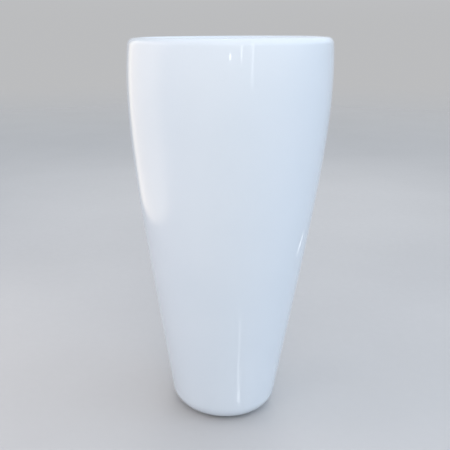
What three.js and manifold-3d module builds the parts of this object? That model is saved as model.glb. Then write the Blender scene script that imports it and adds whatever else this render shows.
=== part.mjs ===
// Free-standing pedestal sink: a one-piece vitreous china body that is bowl and pedestal at once,
// with a click-clack waste, a bottle trap, a drain pipe to the floor and the fixings at its foot.
// Millimetres, +Z up. The origin is on the floor at the body's axis. The front faces -Y.

import * as THREE from 'three';
import { mergeVertices } from 'three/addons/utils/BufferGeometryUtils.js';
import Module from 'manifold-3d';

const wasm = await Module();
wasm.setup();

// ---------- driving dimensions ----------

const GAP = 0.3; // clearance between pieces that rest on each other

// body, outside
const HEIGHT = 850;
const GASKET_THICKNESS = 3;
const FOOT_RADIUS = 76.5; // outer edge of the flat ring that the body stands on
const FOOT_ROUND = 46; // radius of the rounding above that ring
const FLARE_DEG = 9; // how far the pedestal leans outward above the foot
const FLARE_REACH = 420; // how long that lean is held
const RIM_CREST_RADIUS = 197.5;
const RIM_ROUND = 15.5;
const RIM_LEAN_DEG = 5.5; // how far the wall leans inward below the rim
const RIM_REACH = 158;

// body, inside
const WALL = 11;
const FOOT_OPENING_RADIUS = 62;
const LIP_ROUND = 9;
const LIP_RADIUS = 195.5; // where the rim's flat crest turns down into the bowl
const BOWL_FLOOR = 706;
const BOWL_SIDE = { radius: 183, level: 735 }; // what the bowl's outline curves towards, at its side
const BOWL_TURN = { radius: 140, level: 714 }; // and above its floor
const SEAT_RADIUS = 34;
const SEAT_LEVEL = 703; // the recess that the waste flange sits in
const WASTE_HOLE_RADIUS = 23;
const BOSS_RADIUS = 45;
const BOSS_LEVEL = 668;
const CAVITY_TOP = 772; // where the hollow between bowl and outer wall closes

// overflow
const OVERFLOW_LEVEL = 800;
const OVERFLOW_RADIUS = 11;
const DUCT = { halfWidth: 24, near: 6, far: 24 }; // a rib behind the bowl, in depths from its surface
const CHANNEL = { halfWidth: 14, near: 8, far: 16 }; // the water's way inside the rib

// service opening at the back
const SERVICE_RADIUS = 65;
const SERVICE_LOW = 460; // centres of its two round ends
const SERVICE_HIGH = 580;

// side fixings
const FIXING_AZIMUTHS_DEG = { right: 35, left: 145 };
const FIXING_LEVEL = 47;
const FIXING_HOLE_RADIUS = 6;

// waste, in levels above the seat
const THREAD_RADIUS = 20.8;
const WASTE_BORE = 17.5;
const WASTE_LENGTH = 82;
const FLANGE_RADIUS = 33;
const FLANGE_LEVEL = 2.3; // underside of the flange
const CAP_RADIUS = 30;
const CAP_LEVEL = 6.7; // underside of the plug's cap when the plug is shut
const PLUG_TRAVEL = 9;
const SPRING_RADIUS = 7.6;
const SPRING_WIRE = 0.6;
const SPRING_TURNS = 5;

// trap and pipes
const PIPE_RADIUS = 15.9;
const PIPE_BORE = 14.4;
const PIPE_BEND = 34;
const TRAP_LEVEL = 540;
const OUTLET_RISE = 8; // height of the trap's outlet above TRAP_LEVEL
const DROP_OFFSET = 106; // how far the drain pipe stands off the axis beside the trap
const SWING_HIGH = 430; // between these levels the pipe swings back to the axis
const SWING_LOW = 130;
const SWING_EASE = 140;
const GRIP_RIBS = 8; // on each slip nut and on the trap's cup

// roundness of the facets
const BODY_SEGMENTS = 48;
const SMALL_SEGMENTS = 20;
const RING_SEGMENTS = 18;

// ---------- finishes ----------

const FINISHES = {
  ceramic: { color: 0xeef0f2, roughness: 0.08, metalness: 0 },
  chrome: { color: 0xd6d9dc, roughness: 0.12, metalness: 1 },
  brass: { color: 0xc6a35a, roughness: 0.3, metalness: 1 },
  steel: { color: 0xb4b7ba, roughness: 0.3, metalness: 1 },
  rubber: { color: 0x1c1c1e, roughness: 0.75, metalness: 0 },
  nylon: { color: 0xe6e4dc, roughness: 0.5, metalness: 0 },
  plastic: { color: 0x8e9296, roughness: 0.45, metalness: 0 },
};

// ---------- helpers ----------

const sink = new THREE.Group();
const at = (x, y) => new THREE.Vector2(x, y);
const radians = THREE.MathUtils.degToRad;

// Adds one named piece to a group, at a height above that group's origin.
function place(name, geometry, finish, parent = sink, level = 0) {
  const mesh = new THREE.Mesh(geometry, new THREE.MeshStandardMaterial(FINISHES[finish]));
  mesh.name = name;
  mesh.position.z = level;
  parent.add(mesh);
  return mesh;
}

// Points of a circular arc in the outline plane, both ends included.
function arc(centreX, centreY, radius, fromDeg, toDeg, steps) {
  const points = [];
  for (let i = 0; i <= steps; i++) {
    const angle = radians(fromDeg + ((toDeg - fromDeg) * i) / steps);
    points.push(at(centreX + radius * Math.cos(angle), centreY + radius * Math.sin(angle)));
  }
  return points;
}

// The outline moved sideways by a distance, to the right of its direction of travel.
function offset(points, distance) {
  return points.map((point, i) => {
    const before = points[Math.max(i - 1, 0)];
    const after = points[Math.min(i + 1, points.length - 1)];
    const along = after.clone().sub(before).normalize();
    return at(point.x + along.y * distance, point.y - along.x * distance);
  });
}

// Radius of an upright outline at a level.
function radiusAt(outline, level) {
  const crossing = outline.findIndex((p, i) => i > 0 && (p.y - level) * (outline[i - 1].y - level) <= 0);
  const [from, to] = [outline[crossing - 1], outline[crossing]];
  return from.x + ((to.x - from.x) * (level - from.y)) / (to.y - from.y);
}

// A solid of revolution about Z. The outline lists radius and height; it closes on itself
// unless it starts and ends on the axis.
function turned(outline, segments = RING_SEGMENTS) {
  const onAxis = outline[0].x === 0 && outline.at(-1).x === 0;
  const points = THREE.ShapeUtils.area(outline) > 0 ? [...outline] : [...outline].reverse();
  if (!onAxis) points.push(points[0].clone());
  return new THREE.LatheGeometry(points, segments).rotateX(Math.PI / 2);
}

// A plain ring with a rectangular section.
function ring(inner, outer, low, high, segments = RING_SEGMENTS) {
  return turned([at(inner, low), at(outer, low), at(outer, high), at(inner, high)], segments);
}

function box(lowX, highX, lowY, highY, lowZ, highZ) {
  return new THREE.BoxGeometry(highX - lowX, highY - lowY, highZ - lowZ).translate(
    (lowX + highX) / 2,
    (lowY + highY) / 2,
    (lowZ + highZ) / 2
  );
}

// A cylinder along Z.
function rod(radius, low, high, segments = RING_SEGMENTS) {
  return new THREE.CylinderGeometry(radius, radius, high - low, segments)
    .rotateX(Math.PI / 2)
    .translate(0, 0, (low + high) / 2);
}

function toManifold(geometry) {
  const bare = geometry.clone().deleteAttribute('normal').deleteAttribute('uv');
  const merged = mergeVertices(bare, 1e-4);
  return new wasm.Manifold(
    new wasm.Mesh({
      numProp: 3,
      vertProperties: merged.attributes.position.array,
      triVerts: new Uint32Array(merged.index.array),
    })
  );
}

function toGeometry(solid) {
  const mesh = solid.getMesh();
  const geometry = new THREE.BufferGeometry();
  geometry.setAttribute('position', new THREE.BufferAttribute(mesh.vertProperties, 3));
  geometry.setIndex(new THREE.BufferAttribute(mesh.triVerts, 1));
  return geometry;
}

// The base with every piece in "joins" added, then every cutter taken off.
function combine(base, joins, cutters) {
  let solid = toManifold(base);
  for (const piece of joins) solid = solid.add(toManifold(piece));
  for (const cutter of cutters) solid = solid.subtract(toManifold(cutter));
  const geometry = toGeometry(solid);
  geometry.computeVertexNormals();
  return geometry;
}

function intersection(first, second) {
  return toGeometry(toManifold(first).intersect(toManifold(second)));
}

// Ribs spaced evenly round Z, each a copy of one box.
function gripRibs(rib) {
  return Array.from({ length: GRIP_RIBS }, (_, i) => rib.clone().rotateZ((i * 2 * Math.PI) / GRIP_RIBS));
}

// A hexagonal nut with a round hole.
function hexNut(acrossFlats, hole, low, high) {
  const corner = acrossFlats / 2 / Math.cos(Math.PI / 6);
  const shape = new THREE.Shape(arc(0, 0, corner, 0, 300, 5));
  shape.holes.push(new THREE.Path(arc(0, 0, hole, 360, 18, RING_SEGMENTS - 1)));
  return new THREE.ExtrudeGeometry(shape, { depth: high - low, bevelEnabled: false }).translate(0, 0, low);
}

// ---------- ceramic body ----------

// Outer outline from the foot ring up to the rim's crest.
function skinOutline() {
  const footCentre = GASKET_THICKNESS + FOOT_ROUND;
  const rimCentre = HEIGHT - RIM_ROUND;
  const foot = arc(FOOT_RADIUS, footCentre, FOOT_ROUND, -90, -FLARE_DEG, 5);
  const rim = arc(RIM_CREST_RADIUS, rimCentre, RIM_ROUND, RIM_LEAN_DEG, 90, 4);
  const flare = radians(FLARE_DEG);
  const lean = radians(RIM_LEAN_DEG);
  const start = foot.at(-1);
  const end = rim[0];
  const wall = new THREE.CubicBezierCurve(
    start,
    at(start.x + FLARE_REACH * Math.sin(flare), start.y + FLARE_REACH * Math.cos(flare)),
    at(end.x + RIM_REACH * Math.sin(lean), end.y - RIM_REACH * Math.cos(lean)),
    end
  );
  return [...foot.slice(0, -1), ...wall.getSpacedPoints(8), ...rim.slice(1)];
}

// Inner outline of the bowl, from below the rim's crest down to the waste.
function bowlOutline() {
  const bowl = new THREE.CubicBezierCurve(
    at(LIP_RADIUS - LIP_ROUND, HEIGHT - LIP_ROUND),
    at(BOWL_SIDE.radius, BOWL_SIDE.level),
    at(BOWL_TURN.radius, BOWL_TURN.level),
    at(SEAT_RADIUS, BOWL_FLOOR)
  );
  return bowl.getSpacedPoints(9);
}

// Outline of the hollow: up inside the outer wall, over the top and down under the bowl.
function hollowOutline(skin, bowl) {
  const inside = offset(skin, -WALL).filter((p) => p.y < CAVITY_TOP && p.x >= FOOT_RADIUS);
  const under = offset(bowl, -WALL).filter((p) => p.y < CAVITY_TOP && p.x > BOSS_RADIUS + 5);
  const outer = inside.at(-1).x;
  const inner = under[0].x;
  const top = arc((outer + inner) / 2, CAVITY_TOP, (outer - inner) / 2, 0, 180, 3);
  return [...inside, ...top, ...under];
}

// A strip behind the bowl's back, between two depths, from near the waste hole up to a level.
function ductStrip(bowl, size, startY, top) {
  const line = [...bowl, at(WASTE_HOLE_RADIUS - 4, BOWL_FLOOR - 1)];
  const near = offset(line, -size.near);
  const far = offset(line, -size.far).reverse();
  const trim = box(-size.halfWidth, size.halfWidth, startY, 230, 640, top);
  return intersection(turned([...near, ...far], BODY_SEGMENTS), trim);
}

function serviceCutter() {
  const low = arc(0, SERVICE_LOW, SERVICE_RADIUS, 180, 360, 8);
  const high = arc(0, SERVICE_HIGH, SERVICE_RADIUS, 0, 180, 8);
  const shape = new THREE.Shape([...low, ...high]);
  const cutter = new THREE.ExtrudeGeometry(shape, { depth: 140, bevelEnabled: false });
  return cutter.rotateX(Math.PI / 2).translate(0, 250, 0);
}

// Turns a geometry built along +Z into a side fixing's direction: outward and slightly down.
function fixingMatrix(azimuthDeg) {
  const surface = radiusAt(skinOutline(), FIXING_LEVEL);
  const azimuth = radians(azimuthDeg);
  const tilt = radians(90 + FLARE_DEG);
  return new THREE.Matrix4()
    .makeTranslation(surface * Math.cos(azimuth), surface * Math.sin(azimuth), FIXING_LEVEL)
    .multiply(new THREE.Matrix4().makeRotationZ(azimuth))
    .multiply(new THREE.Matrix4().makeRotationY(tilt));
}

function buildBody() {
  const skin = skinOutline();
  const bowl = bowlOutline();
  const lip = arc(LIP_RADIUS, HEIGHT - LIP_ROUND, LIP_ROUND, 90, 180, 3).slice(0, -1);
  const hollow = hollowOutline(skin, bowl);
  const waste = [
    at(SEAT_RADIUS, SEAT_LEVEL),
    at(WASTE_HOLE_RADIUS, SEAT_LEVEL),
    at(WASTE_HOLE_RADIUS, BOSS_LEVEL),
    at(BOSS_RADIUS, BOSS_LEVEL),
    at(BOSS_RADIUS, hollow.at(-1).y),
  ];
  const footInside = [
    at(FOOT_OPENING_RADIUS, GASKET_THICKNESS + WALL),
    at(FOOT_OPENING_RADIUS, GASKET_THICKNESS),
  ];
  const outline = [...skin, ...lip, ...bowl, ...waste, ...hollow.reverse(), ...footInside];
  const shell = turned(outline, BODY_SEGMENTS);

  const duct = ductStrip(bowl, DUCT, WASTE_HOLE_RADIUS + 8, OVERFLOW_LEVEL);
  const channel = ductStrip(bowl, CHANNEL, 10, OVERFLOW_LEVEL + OVERFLOW_RADIUS);
  const overflow = rod(OVERFLOW_RADIUS, -197, -170)
    .rotateX(Math.PI / 2)
    .translate(0, 0, OVERFLOW_LEVEL);
  const fixingHoles = Object.values(FIXING_AZIMUTHS_DEG).map((azimuth) =>
    rod(FIXING_HOLE_RADIUS, -30, 20).applyMatrix4(fixingMatrix(azimuth))
  );
  const cutters = [channel, overflow, serviceCutter(), ...fixingHoles];
  place('ceramic_body', combine(shell, [duct], cutters), 'ceramic');

  place('base_gasket', ring(63.5, 75.5, 0, GASKET_THICKNESS - GAP, 32), 'rubber');
}

// Chrome trim in the overflow hole. Its axis is Y and its face looks back to the bowl's centre.
function buildOverflowRing() {
  const flange = 14.5;
  const sleeve = OVERFLOW_RADIUS - 2 * GAP;
  const trim = turned([
    at(sleeve - 1.8, 0),
    at(flange - 1.2, 0),
    at(flange, 1),
    at(flange, 2.2),
    at(sleeve, 2.2),
    at(sleeve, 9),
    at(sleeve - 1.8, 9),
  ]);
  const lowEdge = radiusAt(bowlOutline(), OVERFLOW_LEVEL - flange);
  const seat = Math.sqrt(lowEdge ** 2 - flange ** 2) - GAP;
  const mesh = place('overflow_ring', trim, 'chrome');
  mesh.rotation.x = -Math.PI / 2;
  mesh.position.set(0, seat - 2.2, OVERFLOW_LEVEL);
}

// ---------- waste ----------

function wasteBody() {
  const tube = turned(
    [
      at(WASTE_BORE, -WASTE_LENGTH),
      at(THREAD_RADIUS, -WASTE_LENGTH),
      at(THREAD_RADIUS, FLANGE_LEVEL),
      at(FLANGE_RADIUS, FLANGE_LEVEL),
      at(FLANGE_RADIUS, 4),
      at(30, 5),
      at(27, 4.2),
      at(20, 3.5),
      at(WASTE_BORE, -2),
    ],
    SMALL_SEGMENTS
  );
  const bridge = box(-19, 19, -3, 3, -38, -32);
  const hub = rod(7.5, -40, -30, 16);
  const hubHole = rod(3.4, -41, -29, 12);
  const slots = box(-8, 8, -30, 30, -16, -4);
  return combine(tube, [bridge, hub], [hubHole, slots]);
}

function latchPost() {
  return turned(
    [
      at(0, -43),
      at(3.1, -43),
      at(3.1, -29.7),
      at(9, -29.7),
      at(9, -26),
      at(3, -26),
      at(3, -9),
      at(3.6, -8),
      at(3, -6),
      at(0, -6),
    ],
    16
  );
}

function plugPlunger() {
  return turned(
    [
      at(0, 13.3),
      at(4, 13.3),
      at(4, 1),
      at(9, 1),
      at(9, -2),
      at(6.5, -2),
      at(6.5, -15),
      at(3.9, -15),
      at(3.9, 5),
      at(0, 5),
    ],
    16
  );
}

function plugCap() {
  const underside = CAP_LEVEL + PLUG_TRAVEL;
  const crownRadius = 130;
  const crown = arc(0, underside + 3.8 - crownRadius, crownRadius, 90, 77.5, 4);
  return turned(
    [
      ...crown,
      at(CAP_RADIUS, underside + 0.2),
      at(CAP_RADIUS - 1, underside),
      at(8, underside),
      at(8, underside - 3),
      at(4.4, underside - 3),
      at(4.4, 14.3),
      at(0, 14.3),
    ],
    SMALL_SEGMENTS
  );
}

function plugSeal() {
  const top = CAP_LEVEL + PLUG_TRAVEL - GAP;
  const bottom = top - 1.9;
  const outline = [
    at(18.6, bottom),
    at(25.9, bottom),
    at(26.4, bottom + 0.4),
    at(26.4, top),
    at(18.6, top),
  ];
  return turned(outline, SMALL_SEGMENTS);
}

// Compression spring with its ends drawn flat against the collar and the plunger's shoulder.
function plugSpring() {
  const low = -26 + GAP + SPRING_WIRE;
  const high = -2 - GAP - SPRING_WIRE;
  const coil = new THREE.Curve();
  coil.getPoint = (t) => {
    const angle = t * SPRING_TURNS * 2 * Math.PI;
    const rise = THREE.MathUtils.smoothstep(t, 0, 1) * 0.35 + t * 0.65;
    return new THREE.Vector3(
      SPRING_RADIUS * Math.cos(angle),
      SPRING_RADIUS * Math.sin(angle),
      low + (high - low) * rise
    );
  };
  const section = new THREE.Shape(arc(0, 0, SPRING_WIRE, 0, 300, 5));
  return new THREE.ExtrudeGeometry(section, {
    extrudePath: coil,
    steps: SPRING_TURNS * 12,
    bevelEnabled: false,
  });
}

function buildWaste() {
  const stack = new THREE.Group();
  stack.position.z = SEAT_LEVEL;
  sink.add(stack);

  const under = BOSS_LEVEL - SEAT_LEVEL;
  place('waste_body', wasteBody(), 'chrome', stack);
  place('waste_top_seal', ring(21.4, 32, GAP, 2), 'rubber', stack);
  place('waste_under_gasket', ring(21.4, 38, under - 3, under - GAP), 'rubber', stack);
  place('waste_friction_washer', ring(21.4, 37, under - 4.8, under - 3.3), 'nylon', stack);
  place('waste_lock_nut', hexNut(54, 21.3, under - 15, under - 5.1), 'brass', stack);

  place('latch_post', latchPost(), 'brass', stack);
  place('plug_spring', plugSpring(), 'steel', stack);
  place('plug_plunger', plugPlunger(), 'brass', stack);
  place('plug_cap', plugCap(), 'chrome', stack);
  place('plug_seal', plugSeal(), 'rubber', stack);
}

// ---------- trap ----------

// Slip nut with an inner lip at its far end, and ribs that a hand can grip.
function slipNut() {
  const nut = turned(
    [at(21.3, 0), at(26, 0), at(26, 18), at(24, 21), at(16.8, 21), at(16.8, 17.6), at(21.3, 17.6)],
    SMALL_SEGMENTS
  );
  return combine(nut, gripRibs(box(24, 27.6, -2, 2, 1, 16)), []);
}

function trapInletTube() {
  const collar = -WASTE_LENGTH - 3.1;
  const bottom = TRAP_LEVEL - 62 - SEAT_LEVEL;
  return turned([
    at(14.6, bottom),
    at(PIPE_RADIUS, bottom),
    at(PIPE_RADIUS, collar - 1.5),
    at(20.6, collar - 1.5),
    at(20.6, collar),
    at(14.6, collar),
  ]);
}

function trapBody() {
  const bottle = turned(
    [
      at(16.7, 56),
      at(21, 56),
      at(21, 38),
      at(27, 36),
      at(32, 30),
      at(32, -24),
      at(29, -24),
      at(29, 28),
      at(16.7, 32),
    ],
    SMALL_SEGMENTS
  );
  const outlet = rod(21, 27, 58, SMALL_SEGMENTS).rotateY(Math.PI / 2).translate(0, 0, OUTLET_RISE);
  const bore = rod(16.7, 20, 60, SMALL_SEGMENTS).rotateY(Math.PI / 2).translate(0, 0, OUTLET_RISE);
  const inside = turned([at(0, -25), at(29, -25), at(29, 28), at(16.7, 32), at(0, 32)], SMALL_SEGMENTS);
  return combine(bottle, [outlet], [inside, bore]);
}

function trapCup() {
  const cup = turned(
    [
      at(0, -84),
      at(22, -84),
      at(30, -81),
      at(33.5, -73),
      at(33.5, -38),
      at(36.5, -35),
      at(36.5, -15),
      at(32.6, -15),
      at(32.6, -27),
      at(30.3, -28),
      at(30.3, -72),
      at(26, -79),
      at(0, -80),
    ],
    SMALL_SEGMENTS
  );
  return combine(cup, gripRibs(box(35, 38, -2, 2, -33, -17)), []);
}

// Drain pipe: out of the trap, down beside it, and back under it to the floor.
function drainPipe() {
  const level = TRAP_LEVEL + OUTLET_RISE;
  const point = (x, z) => new THREE.Vector3(x, 0, z);
  const bendStart = point(DROP_OFFSET - PIPE_BEND, level);
  const bendEnd = point(DROP_OFFSET, level - PIPE_BEND);
  const swingStart = point(DROP_OFFSET, SWING_HIGH);
  const swingEnd = point(0, SWING_LOW);
  const leave = point(DROP_OFFSET, SWING_HIGH - SWING_EASE);
  const arrive = point(0, SWING_LOW + SWING_EASE);
  const path = new THREE.CurvePath();
  path.add(new THREE.LineCurve3(point(38, level), bendStart));
  path.add(new THREE.QuadraticBezierCurve3(bendStart, point(DROP_OFFSET, level), bendEnd));
  path.add(new THREE.LineCurve3(bendEnd, swingStart));
  path.add(new THREE.CubicBezierCurve3(swingStart, leave, arrive, swingEnd));
  path.add(new THREE.LineCurve3(swingEnd, point(0, 14)));
  const section = new THREE.Shape(arc(0, 0, PIPE_RADIUS, 0, 330, 11));
  section.holes.push(new THREE.Path(arc(0, 0, PIPE_BORE, 360, 30, 11)));
  return new THREE.ExtrudeGeometry(section, { extrudePath: path, steps: 27, bevelEnabled: false });
}

// Cone seal on a pipe, with its flat face at a level.
function coneSeal(level) {
  return turned([at(16.3, level), at(20.6, level), at(20.6, level + 1.2), at(16.3, level + 3.2)]);
}

function buildTrap() {
  const coupling = new THREE.Group();
  coupling.position.z = SEAT_LEVEL;
  sink.add(coupling);
  const sealRing = ring(14.8, 20.5, -WASTE_LENGTH - 2.8, -WASTE_LENGTH - GAP);
  place('coupling_seal', sealRing, 'rubber', coupling);
  place('trap_inlet_tube', trapInletTube(), 'chrome', coupling);
  const couplingNut = place('coupling_nut', slipNut(), 'chrome', coupling, -WASTE_LENGTH + 12.7);
  couplingNut.rotation.x = Math.PI;

  const trap = new THREE.Group();
  trap.position.z = TRAP_LEVEL;
  sink.add(trap);
  place('trap_body', trapBody(), 'chrome', trap);
  place('trap_cup', trapCup(), 'chrome', trap);
  place('trap_cup_seal', ring(29.6, 32.2, -26.6, -24.3), 'rubber', trap);
  place('inlet_cone_seal', coneSeal(56.3), 'rubber', trap);
  place('inlet_slip_nut', slipNut(), 'chrome', trap, 42.4);

  const outlet = new THREE.Group();
  outlet.position.z = OUTLET_RISE;
  outlet.rotation.y = Math.PI / 2;
  trap.add(outlet);
  place('outlet_cone_seal', coneSeal(58.3), 'rubber', outlet);
  place('outlet_slip_nut', slipNut(), 'chrome', outlet, 44.4);
  place('drain_pipe', drainPipe(), 'chrome');
}

// ---------- floor ----------

function buildFloorSocket() {
  const socket = turned(
    [
      at(14.5, 0),
      at(34, 0),
      at(34, 3),
      at(32, 4),
      at(24, 5),
      at(23, 7),
      at(23, 49),
      at(20.4, 49),
      at(20.4, 42),
      at(16.7, 40),
      at(16.7, 12),
      at(14.5, 12),
    ],
    SMALL_SEGMENTS
  );
  place('floor_socket', socket, 'plastic');
  place('socket_seal', turned([at(16.3, 42.6), at(20.1, 42.6), at(20.1, 47), at(16.3, 46)]), 'rubber');
}

// Angle bracket of one side fixing, with an upright hole for the floor screw.
function floorBracket(azimuthDeg) {
  const outline = [
    at(37.5, 0),
    at(60, 0),
    at(60, 70),
    at(57, 72),
    at(50, 72),
    at(48, 70),
    at(48, 14),
    at(45, 7),
    at(37.5, 6),
  ];
  const width = 24;
  const azimuth = radians(azimuthDeg);
  const profile = new THREE.Shape(outline);
  const block = new THREE.ExtrudeGeometry(profile, { depth: width, bevelEnabled: false })
    .translate(0, 0, -width / 2)
    .rotateX(Math.PI / 2)
    .rotateZ(azimuth);
  const floorHole = rod(2.6, -1, 9, 12).translate(42, 0, 0).rotateZ(azimuth);
  const screwHole = rod(3.3, -85, -40, 12).applyMatrix4(fixingMatrix(azimuthDeg));
  return combine(block, [], [floorHole, screwHole]);
}

function buildSideFixing(side, azimuthDeg) {
  place('floor_bracket_' + side, floorBracket(azimuthDeg), 'nylon');

  const fixing = new THREE.Group();
  fixingMatrix(azimuthDeg).decompose(fixing.position, fixing.quaternion, fixing.scale);
  sink.add(fixing);
  const bush = [
    at(3.4, -WALL - 1),
    at(5.6, -WALL - 1),
    at(5.6, 0.8),
    at(9, 0.8),
    at(9, 2.4),
    at(3.4, 2.4),
  ];
  place('screw_bush_' + side, turned(bush), 'nylon', fixing);
  const screw = [at(0, -74), at(3, -72), at(3, 2.7), at(6.2, 2.7), at(5.6, 5), at(3, 6.3), at(0, 6.6)];
  place('side_screw_' + side, turned(screw, 16), 'steel', fixing);
  const cap = [
    at(0, 9.2),
    at(6, 8.8),
    at(9.6, 6.8),
    at(11.6, 3),
    at(12, 0.9),
    at(10.4, 0.9),
    at(9.6, 3),
    at(7.6, 6.2),
    at(5, 7.7),
    at(0, 8),
  ];
  place('screw_cap_' + side, turned(cap), 'chrome', fixing);
}

buildBody();
buildOverflowRing();
buildWaste();
buildTrap();
buildFloorSocket();
for (const [side, azimuth] of Object.entries(FIXING_AZIMUTHS_DEG)) {
  buildSideFixing(side, azimuth);
}

export default sink;
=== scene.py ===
"""Looks of a free-standing pedestal sink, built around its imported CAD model.

Outlines are lists of (radius or across, height) in millimetres, worked out from the driving sizes
below; meshes are in metres. The body stands on z = 0 at the origin and its front faces -Y.
"""

import math

import bmesh
import bpy
from mathutils import Matrix, Vector


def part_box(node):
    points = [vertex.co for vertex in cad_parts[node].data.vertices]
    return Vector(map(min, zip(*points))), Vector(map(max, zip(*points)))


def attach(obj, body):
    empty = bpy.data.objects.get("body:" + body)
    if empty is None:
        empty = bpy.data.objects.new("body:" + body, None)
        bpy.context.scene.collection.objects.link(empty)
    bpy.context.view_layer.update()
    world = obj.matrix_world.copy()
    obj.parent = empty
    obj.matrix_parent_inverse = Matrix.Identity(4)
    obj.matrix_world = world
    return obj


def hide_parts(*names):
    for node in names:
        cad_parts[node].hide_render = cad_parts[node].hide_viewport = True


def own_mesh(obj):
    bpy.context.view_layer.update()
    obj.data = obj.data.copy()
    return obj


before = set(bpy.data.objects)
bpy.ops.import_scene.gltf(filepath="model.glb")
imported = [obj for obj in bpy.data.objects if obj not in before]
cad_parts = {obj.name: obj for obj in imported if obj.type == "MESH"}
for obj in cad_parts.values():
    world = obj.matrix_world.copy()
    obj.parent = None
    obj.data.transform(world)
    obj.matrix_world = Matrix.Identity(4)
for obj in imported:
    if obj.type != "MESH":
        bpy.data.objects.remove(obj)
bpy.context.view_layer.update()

# ---------- driving sizes, in millimetres ----------

MM = 0.001

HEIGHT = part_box("ceramic_body")[1].z / MM
BODY_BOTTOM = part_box("ceramic_body")[0].z / MM
FOOT_RADIUS = 76.5
FOOT_ROUND = 46
FLARE_DEG = 9
FLARE_REACH = 420
RIM_CREST_RADIUS = 197.5
RIM_ROUND = 15.5
RIM_LEAN_DEG = 5.5
RIM_REACH = 158

WALL = 11
FOOT_OPENING_RADIUS = 62
LIP_ROUND = 9
LIP_RADIUS = 195.5
BOWL_SIDE = (183, 735)       # the two points that pull the bowl's curve: down its side, and along its floor
BOWL_TURN = (140, 714)
BOWL_FLOOR = 706
SEAT_RADIUS = 34
SEAT_LEVEL = 703
WASTE_HOLE_RADIUS = 23
BOSS_RADIUS = 45
BOSS_LEVEL = 668
CAVITY_TOP = 772
GASKET_RADII = (63.5, 75.5)
GAP = 0.3                    # clearance between pieces that only touch in CAD

OVERFLOW_LEVEL = 800
OVERFLOW_RADIUS = 11
OVERFLOW_DEPTH = 15
OVERFLOW_MARGIN = 11         # from the hole's edge to the untouched part of the bowl's mesh
DUCT_HALF_WIDTH = 24
DUCT_DEPTHS = (8, 24)        # how far behind the bowl's surface the duct starts and ends

SERVICE_RADIUS = 65
SERVICE_LOW = 460
SERVICE_HIGH = 580
SERVICE_EDGE_ROUND = 4
SERVICE_MARGIN = 26          # from the opening's edge to the untouched part of the wall's mesh

FIXING_AZIMUTHS_DEG = {"right": 35, "left": 145}
FIXING_LEVEL = 47

# levels of the waste, plug, latch and spring are measured from the waste's seat
THREAD_RADIUS = 20.8
THREAD_DEPTH = 0.7
WASTE_BORE = 17.5
WASTE_LENGTH = 82
LATCH_COLLAR = -26           # the spring stands on it
PLUNGER_SHOULDER = -2        # the spring pushes against it
CROWN_RADIUS = 130
SPRING_RADIUS = 7.6
SPRING_WIRE = 0.6
SPRING_TURNS = 5

PIPE_RADIUS = 15.9
PIPE_BORE = 14.4
TUBE_BORE = 14.6
TUBE_REACH = 62              # how far the inlet tube ends below the trap's level
TRAP_LEVEL = 540
TRAP_RADIUS = 32
NECK_RADIUS = 21
NECK_BORE = 16.7
OUTLET_RISE = 8
OUTLET_END = 58
DROP_OFFSET = 106
DROP_BEND = 34
DROP_CURVE = (430, 290, 270, 130)    # levels of the points that lead the pipe back under the trap
PIPE_ENDS = (38, 14)         # the pipe's start across and its end above the floor
NUT_BORE = 21.3
GRIP_RIBS = 8
RIB_HALF_WIDTH = 2

# density of the body's mesh
BODY_SEGMENTS = 224
SERVICE_HALF_TURN = 37.5     # the wall is remeshed within this many degrees of each opening's middle
OVERFLOW_HALF_TURN = 7.5
SERVICE_RINGS = 9
OVERFLOW_RINGS = 4
LIP_STEPS = 7

NOISE_RANGE = (0.3, 0.7)     # the values that a noise texture usually covers
FLOOR_RADIUS = 60.0          # metres
FLOOR_FADE = (0.8, 10.0)     # metres from the axis over which the floor gives way to the sky

# ---------- outlines ----------


def arc(centre_x, centre_y, radius, start_deg, end_deg, steps):
    """Points of a circular arc, both ends included."""
    angles = [math.radians(start_deg + (end_deg - start_deg) * i / steps) for i in range(steps + 1)]
    return [(centre_x + radius * math.cos(a), centre_y + radius * math.sin(a)) for a in angles]


def bezier(a, b, c, d, steps):
    """Points of a cubic curve at even steps of its parameter, both ends included."""
    points = []
    for i in range(steps + 1):
        t = i / steps
        s = 1 - t
        weights = (s ** 3, 3 * s * s * t, 3 * s * t * t, t ** 3)
        points.append(tuple(sum(w * p[k] for w, p in zip(weights, (a, b, c, d))) for k in (0, 1)))
    return points


def offset(points, distance):
    """The outline moved sideways, to the right of its direction of travel."""
    moved = []
    for i, (x, y) in enumerate(points):
        before = Vector(points[max(i - 1, 0)])
        after = Vector(points[min(i + 1, len(points) - 1)])
        along = (after - before).normalized()
        moved.append((x + along.y * distance, y - along.x * distance))
    return moved


def rounded(points, radius, steps=4):
    """A closed outline with every corner off the axis replaced by an arc."""
    result = []
    count = len(points)
    for i, point in enumerate(points):
        corner = Vector(point)
        before = Vector(points[i - 1]) - corner
        after = Vector(points[(i + 1) % count]) - corner
        if corner.x == 0 or before.length < 1e-6 or after.length < 1e-6:
            result.append(point)
            continue
        half = before.angle(after) / 2
        if half > math.radians(86):
            result.append(point)
            continue
        reach = min(radius / math.tan(half), before.length * 0.45, after.length * 0.45)
        start = corner + before.normalized() * reach
        end = corner + after.normalized() * reach
        for k in range(steps + 1):
            t = k / steps
            curve = start * (1 - t) ** 2 + corner * 2 * t * (1 - t) + end * t * t
            result.append((curve.x, curve.y))
    return result


def radius_at(points, level):
    """Radius of an upright outline at a level."""
    for (x0, y0), (x1, y1) in zip(points, points[1:]):
        if (y0 - level) * (y1 - level) <= 0 and y0 != y1:
            return x0 + (x1 - x0) * (level - y0) / (y1 - y0)
    raise ValueError(f"the outline doesn't reach level {level}")


# ---------- meshes ----------


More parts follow.
